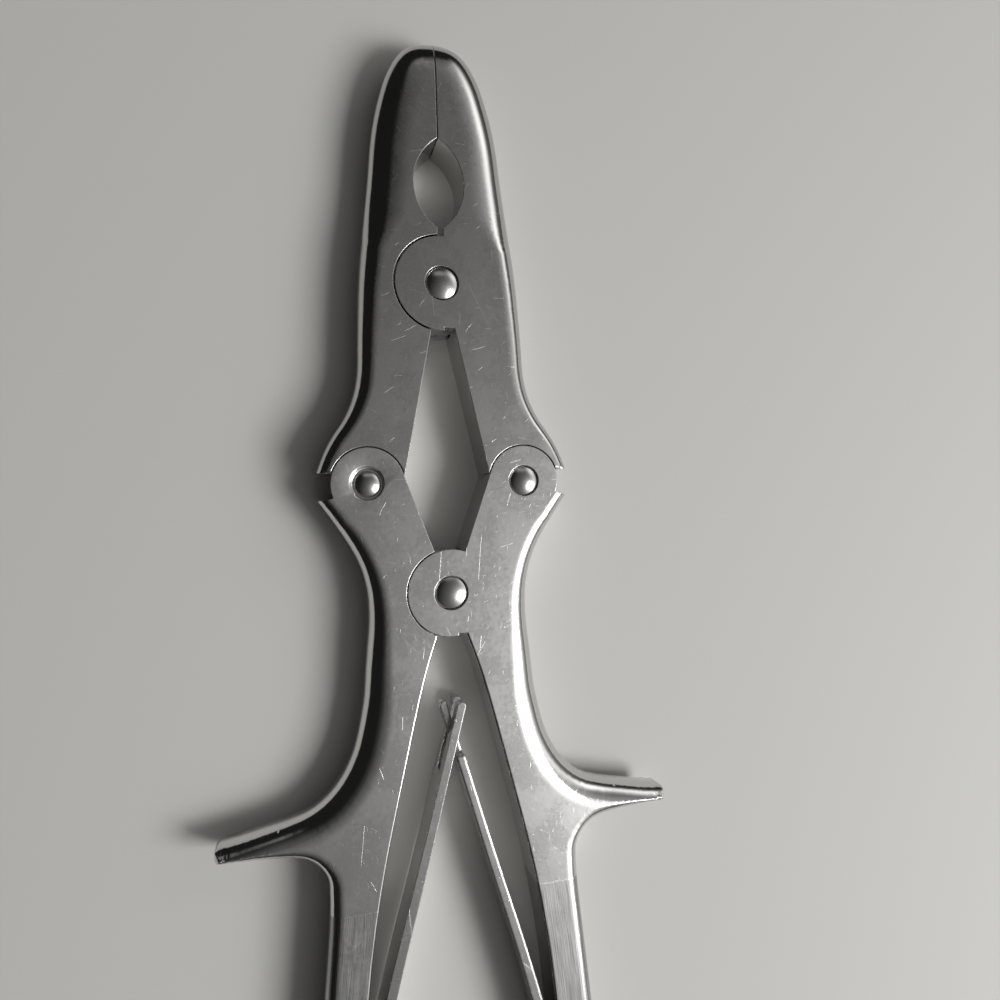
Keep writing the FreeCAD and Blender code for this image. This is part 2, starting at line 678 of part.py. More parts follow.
play = size("axial_play")
parts = {
    "jaw_left": jaw("jaw_left", -1),
    "jaw_right": jaw("jaw_right", 1),
    "handle_left": handle("handle_left", -1),
    "handle_right": handle("handle_right", 1),
    "front_pivot_pin": pin("front_pivot_pin", front_centre(), "head_radius", play, 0.0),
    "rear_pivot_pin": pin("rear_pivot_pin", (0.0, 0.0), "head_radius", 0.0, play),
    "left_side_pin": pin("left_side_pin", side_centre_of(-1), "left_head_radius", play, 0.0,
                         "left_head_crown"),
    "right_side_pin": pin("right_side_pin", side_centre_of(1), "side_head_radius", play, 0.0),
    "forked_leaf_spring": fork_spring("forked_leaf_spring", -1),
    "tongued_leaf_spring": tongue_spring("tongued_leaf_spring", 1),
    "left_spring_screw": spring_screw("left_spring_screw", -1),
    "right_spring_screw": spring_screw("right_spring_screw", 1),
}
doc.recompute()

failed = [item.Name for item in doc.Objects if {"Invalid", "Error"} & set(item.State)]
if failed:
    raise RuntimeError("objects that did not build: " + ", ".join(failed))
for name, item in parts.items():
    if item.Shape.isNull() or not item.Shape.isValid():
        raise RuntimeError(name + " has no valid shape")

os.makedirs("parts", exist_ok=True)
for name, item in parts.items():
    item.Label = name
    item.Shape.exportStep("parts/%s.step" % name)
    bounds = item.Shape.BoundBox
    print("%-22s solids %d volume %8.1f  x %7.2f %7.2f  y %8.2f %8.2f  z %5.2f %5.2f" % (
        name, len(item.Shape.Solids), item.Shape.Volume, bounds.XMin, bounds.XMax,
        bounds.YMin, bounds.YMax, bounds.ZMin, bounds.ZMax))
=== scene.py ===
"""Looks of a bone rongeur: satin steel, lined grips, polished rivets and leaf springs."""

import math

import bmesh
import bpy
from bpy.props import FloatProperty, FloatVectorProperty, PointerProperty
from bpy.types import Operator, Panel, PropertyGroup
from mathutils import Matrix, Vector
from mathutils.kdtree import KDTree


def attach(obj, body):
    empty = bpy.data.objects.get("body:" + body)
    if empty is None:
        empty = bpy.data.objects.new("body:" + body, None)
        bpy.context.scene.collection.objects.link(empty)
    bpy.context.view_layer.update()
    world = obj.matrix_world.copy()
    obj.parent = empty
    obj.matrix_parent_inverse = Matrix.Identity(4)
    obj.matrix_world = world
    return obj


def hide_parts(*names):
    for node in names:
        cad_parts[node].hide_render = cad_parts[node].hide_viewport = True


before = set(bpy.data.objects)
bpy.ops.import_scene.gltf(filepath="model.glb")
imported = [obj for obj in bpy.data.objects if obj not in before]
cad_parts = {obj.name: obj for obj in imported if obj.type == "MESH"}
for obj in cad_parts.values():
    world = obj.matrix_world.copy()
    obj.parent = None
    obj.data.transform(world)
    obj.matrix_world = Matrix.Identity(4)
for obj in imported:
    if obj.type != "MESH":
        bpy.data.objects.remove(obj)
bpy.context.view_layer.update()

bl_info = {
    "name": "Bone Rongeur",
    "version": (1, 0, 0),
    "blender": (4, 5, 0),
    "location": "3D View > Sidebar > Rongeur",
    "description": "Dresses the rongeur's steel pieces and lights them on a plain stage",
    "category": "Object",
}

MM = 0.001
WELD = 0.002 * MM
OUTLINE_SPACING = 0.25 * MM
CUT_BELOW_MIDDLE = 0.1 * MM
RIM_END = 1.6 * MM
LEAST_REACH = 0.5 * MM
DEEPEST_SHARE = 0.9
REFINE_PASSES = 8
WALL_SLOPE = 0.05
SHARP_ANGLE = math.radians(50.0)

# Places along the length of a jaw, from the rear of its horn to its nose.
HORN = 70.0 * MM
WAIST_START = 76.0 * MM
WAIST_END = 95.0 * MM
NOSE_START = 107.0 * MM
NOSE_TIP = 125.0 * MM
JAW_SIDE_DEPTH = 1.5 * MM

# Places along the length of a handle, from its shoulder down to its grip.
SHOULDER = 56.0 * MM
NECK = 46.0 * MM
NECK_REACH = 3.0 * MM
HANDLE_FULL = 10.0 * MM
GRIP_FADE = -60.0 * MM
GRIP_FADE_END = -68.0 * MM
GRIP_LAST_ROW = -70.0 * MM

# Finger hook, measured out from the middle plane, and the room left round the discs.
HOOK_ROOT = 20.0 * MM
HOOK_END = 38.0 * MM
HOOK_TOP = 15.0 * MM
HOOK_TIP_ROOM = 1.0 * MM
REAR_DISC_ROOM = 12.5 * MM
SIDE_DISC_ROOM = 8.7 * MM

# Shades of a steel's own colour.
DULL_SHADE = 0.78
POLISHED_SHADE = 1.08
SCRATCH_SHADE = 1.45
DARK_LINE_SHADE = 0.45
PALE_LINE_SHADE = 0.8

KEY_AIM = (0.0, 0.02, 0.0)
FLOOR_REACH = 3.0
JAWS = {"jaw_left": "left_jaw_body", "jaw_right": "right_jaw_body"}
HANDLES = {"handle_left": "left_handle_body", "handle_right": "right_handle_body"}
PINS = ("front_pivot_pin", "rear_pivot_pin", "left_side_pin", "right_side_pin")
SPRINGS = ("forked_leaf_spring", "tongued_leaf_spring")
SCREWS = ("left_spring_screw", "right_spring_screw")


class RongeurSteel(PropertyGroup):
    """Finish of the steel."""

    jaw_tone: FloatVectorProperty(
        name="Jaw steel", description="Colour of the satin steel of the jaws",
        subtype="COLOR", size=3, min=0.0, max=1.0, default=(0.55, 0.545, 0.535))
    handle_tone: FloatVectorProperty(
        name="Handle steel", description="Colour of the satin steel of the handles",
        subtype="COLOR", size=3, min=0.0, max=1.0, default=(0.64, 0.635, 0.625))
    pin_tone: FloatVectorProperty(
        name="Rivet steel", description="Colour of the polished rivet heads",
        subtype="COLOR", size=3, min=0.0, max=1.0, default=(0.52, 0.515, 0.505))
    spring_tone: FloatVectorProperty(
        name="Spring steel", description="Colour of the leaf springs",
        subtype="COLOR", size=3, min=0.0, max=1.0, default=(0.62, 0.615, 0.605))
    satin_roughness: FloatProperty(
        name="Satin roughness", description="Mean roughness of the satin faces",
        min=0.05, max=0.9, default=0.30)
    polish_roughness: FloatProperty(
        name="Polish roughness", description="Roughness of the polished roundings",
        min=0.02, max=0.9, default=0.11)
    grain_size: FloatProperty(
        name="Grain size", description="Size of the mottle on the satin faces",
        unit="LENGTH", min=0.0001, max=0.01, default=0.0007)
    grip_start: FloatProperty(
        name="Lined grip start", description="Where the lines of the grips begin along Y",
        unit="LENGTH", default=-0.0185)


class RongeurWear(PropertyGroup):
    """Wide hand-polished roundings of the outer sides."""

    half_thickness: FloatProperty(
        name="Half thickness", description="Half the thickness of the flat steel",
        unit="LENGTH", min=0.001, default=0.0045)
    nose_reach: FloatProperty(
        name="Nose rounding", description="How far in the rounding reaches at the nose",
        unit="LENGTH", min=0.001, default=0.0072)
    waist_reach: FloatProperty(
        name="Waist rounding", description="How far in the rounding reaches at the waist",
        unit="LENGTH", min=0.001, default=0.003)
    handle_reach: FloatProperty(
        name="Handle rounding", description="How far in the rounding reaches above the hooks",
        unit="LENGTH", min=0.001, default=0.0054)
    hook_reach: FloatProperty(
        name="Hook rounding", description="How far in the rounding reaches at the hook's end",
        unit="LENGTH", min=0.001, default=0.0046)
    under_reach: FloatProperty(
        name="Underside rounding", description="How far in the rounding reaches below the hook",
        unit="LENGTH", min=0.001, default=0.0022)
    fine: FloatProperty(
        name="Facet size", description="Longest facet edge in the roundings",
        unit="LENGTH", min=0.0002, default=0.0006)


class RongeurStage(PropertyGroup):
    """Floor, lamps and camera."""

    floor_tone: FloatVectorProperty(
        name="Floor", description="Colour of the plain floor",
        subtype="COLOR", size=3, min=0.0, max=1.0, default=(0.66, 0.655, 0.63))
    key_power: FloatProperty(
        name="Key lamp", description="Power of the large soft lamp at the lower right",
        unit="POWER", min=0.0, default=5.5)
    key_size: FloatProperty(
        name="Key lamp size", description="Side of the large soft lamp",
        unit="LENGTH", min=0.05, default=0.38)
    key_place: FloatVectorProperty(
        name="Key lamp place", description="Where the large soft lamp hangs",
        subtype="TRANSLATION", unit="LENGTH", size=3, default=(0.60, -0.22, 0.60))
    glow_level: FloatProperty(
        name="Glow", description="Brightness of the room round the key lamp",
        min=0.0, max=4.0, default=0.35)
    band_level: FloatProperty(
        name="Low band", description="Brightness of the wide low window on the right",
        min=0.0, max=8.0, default=0.95)
    dark_level: FloatProperty(
        name="Dark", description="Brightness of the ceiling away from the key lamp",
        min=0.0, max=1.0, default=0.062)
    fill_level: FloatProperty(
        name="Fill", description="Brightness of the far wall and of the light from below",
        min=0.0, max=4.0, default=0.4)
    lens: FloatProperty(
        name="Lens", description="Focal length of the camera on a 36 mm wide frame",
        subtype="DISTANCE_CAMERA", min=10.0, default=27.04)
    camera_place: FloatVectorProperty(
        name="Camera place", description="Where the camera stands",
        subtype="TRANSLATION", unit="LENGTH", size=3, default=(-0.02655, 0.05337, 0.14236))
    camera_aim: FloatVectorProperty(
        name="Camera aim", description="The point that the middle of the picture looks at",
        subtype="TRANSLATION", unit="LENGTH", size=3, default=(0.00961, 0.05302, 0.009))
    camera_roll: FloatProperty(
        name="Camera roll", description="Turn of the picture about the line of sight",
        subtype="ANGLE", unit="ROTATION", default=math.radians(-1.745))


class NodeSheet:
    """Small helper that adds and joins shader nodes in a tree."""

    def __init__(self, tree):
        self.tree = tree
        self.nodes = tree.nodes
        self.count = 0

    def add(self, kind, **settings):
        node = self.nodes.new(kind)
        node.location = (180.0 * (self.count % 9), -220.0 * (self.count // 9))
        self.count += 1
        for key, value in settings.items():
            setattr(node, key, value)
        return node

    def join(self, source, target):
        self.tree.links.new(source, target)

    def feed(self, target, value):
        if isinstance(value, bpy.types.NodeSocket):
            self.join(value, target)
        else:
            target.default_value = value

    def math(self, operation, first, second=0.0, third=0.0):
        node = self.add("ShaderNodeMath", operation=operation)
        for socket, value in zip(node.inputs, (first, second, third)):
            self.feed(socket, value)
        return node.outputs[0]

    def vector(self, operation, first, second=(0.0, 0.0, 0.0), scale=None):
        node = self.add("ShaderNodeVectorMath", operation=operation)
        self.feed(node.inputs[0], first)
        self.feed(node.inputs[1], second)
        if scale is not None:
            self.feed(node.inputs["Scale"], scale)
        return node.outputs["Value" if operation == "DOT_PRODUCT" else "Vector"]

    def ramp(self, value, low, high, out_low=0.0, out_high=1.0):
        node = self.add("ShaderNodeMapRange", interpolation_type="SMOOTHSTEP", clamp=True)
        for name, item in (("Value", value), ("From Min", low), ("From Max", high),
                           ("To Min", out_low), ("To Max", out_high)):
            self.feed(node.inputs[name], item)
        return node.outputs["Result"]

    def noise(self, vector, scale, detail=2.0, roughness=0.5):
        node = self.add("ShaderNodeTexNoise")
        self.feed(node.inputs["Vector"], vector)
        self.feed(node.inputs["Scale"], scale)
        self.feed(node.inputs["Detail"], detail)
        self.feed(node.inputs["Roughness"], roughness)
        return node.outputs["Fac"]

    def mix(self, factor, first, second):
        node = self.add("ShaderNodeMix", data_type="RGBA")
        self.feed(node.inputs["Factor"], factor)
        self.feed(node.inputs["A"], first)
        self.feed(node.inputs["B"], second)
        return node.outputs["Result"]

    def split(self, vector):
        """The X, Y and Z of a vector."""
        node = self.add("ShaderNodeSeparateXYZ")
        self.join(vector, node.inputs[0])
        return node.outputs


def new_group(name, inputs, outputs):
    """Start a shader node group with named inputs and outputs."""
    group = bpy.data.node_groups.new(name, "ShaderNodeTree")
    for label, kind, value in inputs:
        socket = group.interface.new_socket(label, in_out="INPUT", socket_type=kind)
        if value is not None:
            socket.default_value = value
    for label, kind in outputs:
        group.interface.new_socket(label, in_out="OUTPUT", socket_type=kind)
    sheet = NodeSheet(group)
    entry = sheet.add("NodeGroupInput")
    leave = sheet.add("NodeGroupOutput")
    return group, sheet, entry, leave


def satin_grain_group():
    """Cloudy mottle of ground steel, with a fine pit in it."""
    group, sheet, entry, leave = new_group(
        "Satin Grain",
        (("Position", "NodeSocketVector", None), ("Grain Size", "NodeSocketFloat", 0.0007),
         ("Seed", "NodeSocketFloat", 0.0)),
        (("Tone", "NodeSocketFloat"), ("Height", "NodeSocketFloat")))
    shift = sheet.vector("ADD", entry.outputs["Position"], entry.outputs["Seed"])
    rate = sheet.math("DIVIDE", 1.0, entry.outputs["Grain Size"])
    fine = sheet.noise(shift, rate, 4.0, 0.62)
    broad = sheet.noise(shift, sheet.math("MULTIPLY", rate, 0.12), 3.0, 0.55)
    cloud = sheet.math("MULTIPLY_ADD", broad, 0.6, sheet.math("MULTIPLY", fine, 0.4))
    sheet.join(sheet.ramp(cloud, 0.36, 0.64), leave.inputs["Tone"])
    sheet.join(fine, leave.inputs["Height"])
    return group


def stray_scratches_group():
    """Short bent scratches, one in each cell of a random pattern, each in its own direction."""
    group, sheet, entry, leave = new_group(
        "Stray Scratches",
        (("Position", "NodeSocketVector", None), ("Spacing", "NodeSocketFloat", 0.004),
         ("Length", "NodeSocketFloat", 0.42), ("Width", "NodeSocketFloat", 0.02),
         ("Share", "NodeSocketFloat", 0.5), ("Bend", "NodeSocketFloat", 0.25)),
        (("Mask", "NodeSocketFloat"),))
    rate = sheet.math("DIVIDE", 1.0, entry.outputs["Spacing"])
    flat = sheet.vector("MULTIPLY", entry.outputs["Position"], (1.0, 1.0, 0.35))
    place = sheet.vector("SCALE", flat, scale=rate)
    cells = sheet.add("ShaderNodeTexVoronoi")
    cells.inputs["Scale"].default_value = 1.0
    sheet.join(place, cells.inputs["Vector"])
    local = sheet.vector("SUBTRACT", place, cells.outputs["Position"])
    draw = sheet.add("ShaderNodeSeparateColor")
    sheet.join(cells.outputs["Color"], draw.inputs[0])
    turn = sheet.math("MULTIPLY", draw.outputs[0], math.tau)
    axes = sheet.split(local)
    cosine = sheet.math("COSINE", turn)
    sine = sheet.math("SINE", turn)
    along = sheet.math("MULTIPLY_ADD", axes["X"], cosine,
                       sheet.math("MULTIPLY", axes["Y"], sine))
    across = sheet.math("SUBTRACT", sheet.math("MULTIPLY", axes["Y"], cosine),
                        sheet.math("MULTIPLY", axes["X"], sine))
    sag = sheet.math("MULTIPLY", sheet.math("MULTIPLY", along, along),
                     sheet.math("MULTIPLY", sheet.math("SUBTRACT", draw.outputs[1], 0.5),
                                entry.outputs["Bend"]))
    away = sheet.math("ABSOLUTE", sheet.math("SUBTRACT", across, sag))
    line = sheet.ramp(away, entry.outputs["Width"], 0.0)
    reach = sheet.math("MULTIPLY", entry.outputs["Length"],
                       sheet.math("MULTIPLY_ADD", draw.outputs[2], 0.8, 0.2))
    ends = sheet.ramp(sheet.math("ABSOLUTE", along), reach,
                      sheet.math("MULTIPLY", reach, 0.6))
    chosen = sheet.math("LESS_THAN", draw.outputs[1], entry.outputs["Share"])
    mask = sheet.math("MULTIPLY", sheet.math("MULTIPLY", line, ends), chosen)
    sheet.join(mask, leave.inputs["Mask"])
    return group


def lengthwise_lines_group():
    """Fine parallel lines that run along Y, as left by a belt on a grip."""
    group, sheet, entry, leave = new_group(
        "Lengthwise Lines",
        (("Position", "NodeSocketVector", None), ("Lean", "NodeSocketFloat", 0.0),
         ("Pitch", "NodeSocketFloat", 0.0002), ("Run", "NodeSocketFloat", 0.009)),
        (("Lines", "NodeSocketFloat"),))
    axes = sheet.split(entry.outputs["Position"])
    pitch = entry.outputs["Pitch"]
    side = sheet.math("SUBTRACT", axes["X"],
                      sheet.math("MULTIPLY", axes["Y"], entry.outputs["Lean"]))
    stretched = sheet.add("ShaderNodeCombineXYZ")
    sheet.join(sheet.math("DIVIDE", side, pitch), stretched.inputs["X"])
    sheet.join(sheet.math("DIVIDE", axes["Y"], entry.outputs["Run"]), stretched.inputs["Y"])
    sheet.join(sheet.math("DIVIDE", axes["Z"], pitch), stretched.inputs["Z"])
    sheet.join(sheet.noise(stretched.outputs[0], 1.0, 3.0, 0.6), leave.inputs["Lines"])
    return group


def get_group(builder, name):
    """The node group of that name, built on first use."""
    return bpy.data.node_groups.get(name) or builder()


def place_group(sheet, builder, name, **values):
    """Put a node group into a tree and set its inputs."""
    node = sheet.add("ShaderNodeGroup")
    node.node_tree = get_group(builder, name)
    for label, value in values.items():
        sheet.feed(node.inputs[label.replace("_", " ")], value)
    return node


def flat_faces_group():
    """Mask of the ground flat faces, which lie square to Z, against the polished roundings."""
    group, sheet, entry, leave = new_group(
        "Flat Faces",
        (("Normal", "NodeSocketVector", None), ("Edge", "NodeSocketFloat", 0.985)),
        (("Mask", "NodeSocketFloat"),))
    upward = sheet.vector("DOT_PRODUCT", entry.outputs["Normal"], (0.0, 0.0, 1.0))
    level = sheet.math("ABSOLUTE", upward)
    low = sheet.math("SUBTRACT", entry.outputs["Edge"], 0.05)
    sheet.join(sheet.ramp(level, low, entry.outputs["Edge"]), leave.inputs["Mask"])
    return group


def shade(tone, factor):
    """A tone made darker or brighter, with full alpha."""
    return [min(1.0, channel * factor) for channel in tone] + [1.0]


def scratch_marks(sheet, place, share):
    """Short, long and hair-fine scratches laid over one another."""
    short = place_group(sheet, stray_scratches_group, "Stray Scratches", Position=place,
                        Spacing=0.0042, Length=0.44, Width=0.008, Share=share)
    moved = sheet.vector("ADD", place, (0.013, 0.007, 0.0))
    long = place_group(sheet, stray_scratches_group, "Stray Scratches", Position=moved,
                       Spacing=0.015, Length=0.5, Width=0.0022, Share=share * 0.6, Bend=0.1)
    hair = place_group(sheet, stray_scratches_group, "Stray Scratches", Position=place,
                       Spacing=0.0016, Length=0.48, Width=0.016, Share=0.7, Bend=0.4)
    marks = sheet.math("MAXIMUM", short.outputs["Mask"], long.outputs["Mask"])
    return sheet.math("MAXIMUM", marks, sheet.math("MULTIPLY", hair.outputs["Mask"], 0.5))


def grip_lines(sheet, place, tone, lean, start):
    """Mask of a lined grip with a ragged start, its lines, and their streaked colour."""
    lines = place_group(sheet, lengthwise_lines_group, "Lengthwise Lines",
                        Position=place, Lean=lean).outputs["Lines"]
    ragged = sheet.math("MULTIPLY_ADD", lines, 1.2 * MM, sheet.split(place)["Y"])
    grip = sheet.ramp(ragged, start + 0.6 * MM, start + 0.2 * MM)
    streak = sheet.ramp(lines, 0.3, 0.72)
    colour = sheet.mix(streak, shade(tone, DARK_LINE_SHADE), shade(tone, PALE_LINE_SHADE))
    return grip, lines, colour


def relief_normal(sheet, height, depth, edge_radius):
    """Normal of a surface with softened edges and a height as its bump."""
    edge = sheet.add("ShaderNodeBevel", samples=8)
    edge.inputs["Radius"].default_value = edge_radius
    relief = sheet.add("ShaderNodeBump")
    relief.inputs["Strength"].default_value = 1.0
    relief.inputs["Distance"].default_value = depth
    sheet.join(height, relief.inputs["Height"])
    sheet.join(edge.outputs[0], relief.inputs["Normal"])
    return relief.outputs[0]


def steel_material(name, tone, flat_roughness, round_roughness, grain, scratch_share=0.65,
                   lean=None, grip_start=0.0, seed=0.0, depth=0.02 * MM, edge_radius=0.2 * MM):
    """Ground steel with polished roundings, stray scratches and, on grips, lengthwise lines."""
    material = bpy.data.materials.new(name)
    material.use_nodes = True
    sheet = NodeSheet(material.node_tree)
    shader = material.node_tree.nodes["Principled BSDF"]
    coordinates = sheet.add("ShaderNodeTexCoord")
    place = coordinates.outputs["Object"]
    flats = place_group(sheet, flat_faces_group, "Flat Faces",
                        Normal=coordinates.outputs["Normal"]).outputs["Mask"]
    mottle = place_group(sheet, satin_grain_group, "Satin Grain",
                         Position=place, Grain_Size=grain, Seed=seed)
    marks = scratch_marks(sheet, place, scratch_share)
    marks = sheet.math("MULTIPLY", marks, sheet.ramp(flats, 0.0, 1.0, 0.25, 1.0))
    cloudy = sheet.mix(mottle.outputs["Tone"], shade(tone, DULL_SHADE), shade(tone, 1.0))
    colour = sheet.mix(flats, shade(tone, POLISHED_SHADE), cloudy)
    satin = sheet.ramp(mottle.outputs["Tone"], 0.0, 1.0,
                       flat_roughness * 1.2, flat_roughness * 0.85)
    rough = sheet.ramp(flats, 0.0, 1.0, round_roughness, satin)
    height = sheet.math("MULTIPLY", mottle.outputs["Height"],
                        sheet.ramp(flats, 0.0, 1.0, 0.1, 0.5))
    if lean is not None:
        grip, lines, streaked = grip_lines(sheet, place, tone, lean, grip_start)
        colour = sheet.mix(grip, colour, streaked)
        rough = sheet.math("MULTIPLY_ADD", grip, 0.14, rough)
        height = sheet.math("MULTIPLY_ADD", grip, sheet.math("MULTIPLY", lines, 1.2), height)
        fade = sheet.math("SUBTRACT", 1.0, sheet.math("MULTIPLY", grip, 0.8))
        marks = sheet.math("MULTIPLY", marks, fade)
    colour = sheet.mix(sheet.math("MULTIPLY", marks, 0.6), colour, shade(tone, SCRATCH_SHADE))
    rough = sheet.math("MULTIPLY_ADD", marks, 0.15, rough)
    height = sheet.math("SUBTRACT", height, sheet.math("MULTIPLY", marks, 0.4))
    sheet.join(colour, shader.inputs["Base Color"])
    sheet.join(rough, shader.inputs["Roughness"])
    sheet.join(relief_normal(sheet, height, depth, edge_radius), shader.inputs["Normal"])
    shader.inputs["Metallic"].default_value = 1.0
    return material


def dress(piece, material):
    """Give a piece its material."""
    if piece is None:
        raise RuntimeError("a piece of the rongeur is missing from the frame")
    piece.data.materials.clear()
    piece.data.materials.append(material)


def outline_rows(skin, level):
    """Points along the outline at a level, each with the way that the side faces there."""
    rows = []
    for face in skin.faces:
        ends = []
        for edge in face.edges:
            first, second = edge.verts[0].co, edge.verts[1].co
            if (first.z - level) * (second.z - level) < 0.0:
                ends.append(first.lerp(second, (level - first.z) / (second.z - first.z)))
        if len(ends) == 2:
            count = max(1, math.ceil((ends[1] - ends[0]).length / OUTLINE_SPACING))
            rows += [(ends[0].lerp(ends[1], step / count), face.normal.copy())
                     for step in range(count + 1)]
    return rows


def blend_between(value, stops):
    """Value of a law given by rising (place, amount) stops, with soft joins."""
    if value <= stops[0][0]:
        return stops[0][1]
    for (low, first), (high, second) in zip(stops, stops[1:]):
        if value < high:
            share = (value - low) / (high - low)
            share = share * share * (3.0 - 2.0 * share)
            return first + (second - first) * share
    return stops[-1][1]


class Rim:
    """Part of an outline, with how far in the rounding reaches at each of its points."""

    def __init__(self, rows, law):
        self.tree = KDTree(len(rows))
        self.reaches = [law(point) for point, normal in rows]
        self.normals = [Vector((normal.x, normal.y)).normalized() for point, normal in rows]
        self.level = rows[0][0].z
        for index, (point, normal) in enumerate(rows):
            self.tree.insert(point, index)
        self.tree.balance()

    def measure(self, point):
        """Distance from the outline, and the rounding's reach at the nearest point of it."""
        spot, index, away = self.tree.find((point.x, point.y, self.level))
        square = abs((point.xy - spot.xy).dot(self.normals[index]))
        beside = away * away - square * square < RIM_END * RIM_END
        return square if beside else away, self.reaches[index]


def rounded_height(inward, reach, half):
    """Height above the mid plane of a rounding, at a distance from the outline."""
    if inward >= reach:
        return half
    tall = min(reach, half * DEEPEST_SHARE)
    share = 1.0 - inward / reach
    return half - tall + tall * math.sqrt(max(0.0, 1.0 - share * share))


def needs_halving(face, edge, rims, fine):
    """Whether a face's longest edge is too long where a rounding will reach."""
    length = edge.calc_length()
    if length <= fine or face.calc_area() < WELD * length:
        return False
    middle = (edge.verts[0].co + edge.verts[1].co) / 2.0
    for rim in rims:
        inward, reach = rim.measure(middle)
        if inward - 0.5 * length < reach + fine:
            return True
    return False


def refine(skin, rims, fine):
    """Halve long edges wherever a rounding will reach, in a limited number of passes."""
    for _ in range(REFINE_PASSES):
        marked = set()
        for face in skin.faces:
            if abs(face.normal.z) < WALL_SLOPE:
                continue
            edge = max(face.edges, key=lambda item: item.calc_length())
            if needs_halving(face, edge, rims, fine):
                marked.add(edge)
        if not marked:
            return
        bmesh.ops.subdivide_edges(skin, edges=list(marked), cuts=1)
        bmesh.ops.triangulate(skin, faces=[face for face in skin.faces if len(face.verts) > 3])


def round_off(skin, rims, half):
    """Lower both broad faces towards the outline, and mark the edges that stay sharp."""
    for vertex in skin.verts:
        offset = vertex.co.z - half
        for rim in rims:
            inward, reach = rim.measure(vertex.co)
            height = rounded_height(inward, reach, half)
            offset = math.copysign(min(abs(offset), height), offset)
        vertex.co.z = half + offset
    skin.normal_update()
    for face in skin.faces:
        face.smooth = True
    for edge in skin.edges:
        edge.smooth = len(edge.link_faces) == 2 and edge.calc_face_angle() < SHARP_ANGLE


def worn_piece(name, body, rim_maker, wear):
    """Copy of a CAD node with its outer sides polished to wide roundings."""
    skin = bmesh.new()
    skin.from_mesh(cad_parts[name].data)
    bmesh.ops.remove_doubles(skin, verts=skin.verts, dist=WELD)
    bmesh.ops.dissolve_degenerate(skin, edges=skin.edges, dist=WELD)
    bmesh.ops.triangulate(skin, faces=skin.faces)
    side = -1.0 if name.endswith("left") else 1.0
    rims = rim_maker(outline_rows(skin, wear.half_thickness - CUT_BELOW_MIDDLE), side, wear)
    refine(skin, rims, wear.fine)
    round_off(skin, rims, wear.half_thickness)
    mesh = bpy.data.meshes.new(name + "_worn")
    skin.to_mesh(mesh)
    skin.free()
    mesh.validate()
    piece = bpy.data.objects.new(name + "_worn", mesh)
    bpy.context.scene.collection.objects.link(piece)
    weighted = piece.modifiers.new("weighted_normals", "WEIGHTED_NORMAL")
    weighted.keep_sharp = True
    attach(piece, body)
    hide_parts(name)
    return piece


def jaw_rims(rows, side, wear):
    """The outer side of a jaw, wide at the nose and narrow from the front pivot down."""
    widest = {}
    for point, normal in rows:
        key = round(point.y / MM)
        widest[key] = max(widest.get(key, 0.0), abs(point.x))
    outer = []
    for point, normal in rows:
        at_tip = point.y > NOSE_TIP and normal.y > 0.3
        at_side = abs(point.x) > widest[round(point.y / MM)] - JAW_SIDE_DEPTH
        if at_tip or (at_side and side * normal.x > 0.1):
            outer.append((point, normal))

    def law(point):
        return blend_between(point.y, ((HORN, LEAST_REACH), (WAIST_START, wear.waist_reach),
                                       (WAIST_END, wear.waist_reach),
                                       (NOSE_START, wear.nose_reach)))

    return [Rim(outer, law)]


def away_from(name, point):
    """Distance in the plane between a point and the middle of a CAD node."""
    corners = [Vector(corner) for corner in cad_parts[name].bound_box]
    middle = sum(corners, Vector()) / len(corners)
    return (point.xy - middle.xy).length


def handle_rows(rows, side):
    """The rows of a handle's outer side and hook, clear of the round recesses."""
    side_pin = "left_side_pin" if side < 0.0 else "right_side_pin"
    kept = []
    for point, normal in rows:
        outward = side * normal.x > 0.2
        on_hook = abs(point.x) > HOOK_ROOT and point.y < HOOK_TOP
        if (GRIP_LAST_ROW < point.y < SHOULDER and (outward or on_hook)
                and away_from("rear_pivot_pin", point) > REAR_DISC_ROOM
                and away_from(side_pin, point) > SIDE_DISC_ROOM):
            kept.append((point, normal))
    return kept


def handle_rims(rows, side, wear):
    """The outer side of a handle down to the hook's end, and the side below the hook."""
    kept = handle_rows(rows, side)
    tip = max(kept, key=lambda row: abs(row[0].x))[0]
    kept = [row for row in kept if abs(row[0].x) < abs(tip.x) - HOOK_TIP_ROOM]
    upper = [row for row in kept if row[0].y >= tip.y - HOOK_TIP_ROOM]
    lower = [row for row in kept if row[0].y < tip.y - HOOK_TIP_ROOM]

    def upper_law(point):
        down = blend_between(-point.y, ((-SHOULDER, LEAST_REACH), (-NECK, NECK_REACH),
                                        (-HANDLE_FULL, wear.handle_reach)))
        out = blend_between(abs(point.x), ((HOOK_ROOT, wear.handle_reach),
                                           (HOOK_END, wear.hook_reach)))
        return min(down, out)

    def lower_law(point):
        return blend_between(-point.y, ((-GRIP_FADE, wear.under_reach),
                                        (-GRIP_FADE_END, LEAST_REACH)))

    return [Rim(upper, upper_law), Rim(lower, lower_law)]


class RONGEUR_OT_jaws(Operator):
    """Polish both jaws to their wide roundings and give them their satin steel"""

    bl_idname = "rongeur.jaws"
    bl_label = "Jaws"

    def execute(self, context):
        steel = context.scene.rongeur_steel
        for index, (name, body) in enumerate(JAWS.items()):
            piece = worn_piece(name, body, jaw_rims, context.scene.rongeur_wear)
            dress(piece, steel_material(name + "_steel", steel.jaw_tone, steel.satin_roughness,
                                       steel.polish_roughness, steel.grain_size,
                                       seed=index * 0.37))
        return {"FINISHED"}


